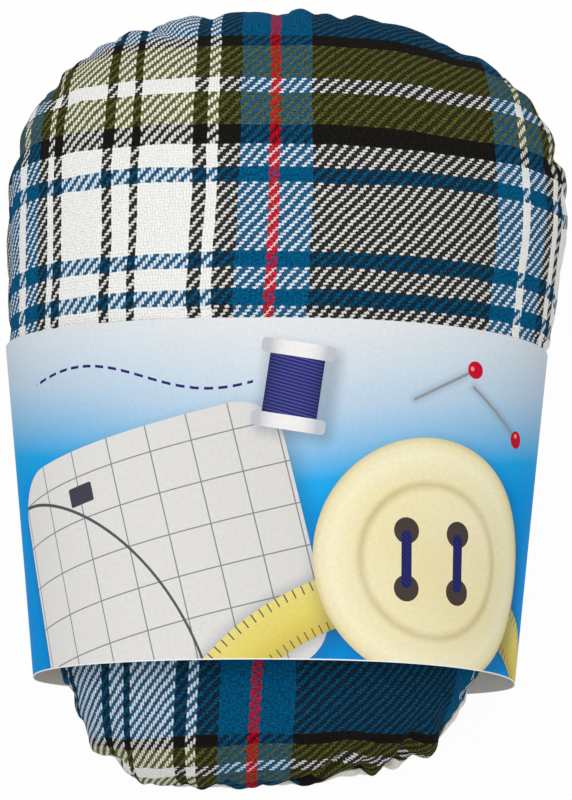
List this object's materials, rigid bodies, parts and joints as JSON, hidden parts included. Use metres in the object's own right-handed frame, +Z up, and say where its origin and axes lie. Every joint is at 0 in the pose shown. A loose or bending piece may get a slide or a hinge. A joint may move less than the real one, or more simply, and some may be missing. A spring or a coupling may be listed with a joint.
{
  "type": "tailor's ham",
  "caption": "Hard-stuffed egg-shaped pressing cushion with a tartan wool face, a cotton underside and a gathered side seam, inside a tapered printed card sleeve that slides off.",
  "frame": {"origin": "centre of the footprint, on the table under the belly", "axes": "+Y points along the ham to its wide end, +Z is up through the crown of the tartan face, +X is across it"},
  "size_m": [0.2032, 0.288, 0.1089],
  "materials": {
    "tartan_wool": "napped wool twill in a blue, green, black and white tartan with a red line",
    "cream_cotton": "plain woven unbleached cotton",
    "lining_cotton": "densely woven cotton",
    "sewing_thread": "twisted cotton thread",
    "sawdust": "fine packed sawdust",
    "printed_card": "glossy printed outside, uncoated pale grey inside",
    "card_glue": "thin set glue"
  },
  "bodies": {
    "ham": {"cover_top": "tartan_wool", "cover_bottom": "cream_cotton", "cover_seam_thread": "sewing_thread", "closing_stitches": "sewing_thread", "lining_top": "lining_cotton", "lining_bottom": "lining_cotton", "lining_seam_thread": "sewing_thread", "sawdust_filling": "sawdust"},
    "sleeve": {"sleeve_band": "printed_card", "sleeve_glue_strip": "card_glue"}
  },
  "joints": [
    {"name": "sleeve_slide", "type": "slide", "parent": "ham", "child": "sleeve", "axis": [0, -1, 0], "range_m": [0, 0.175]}
  ]
}
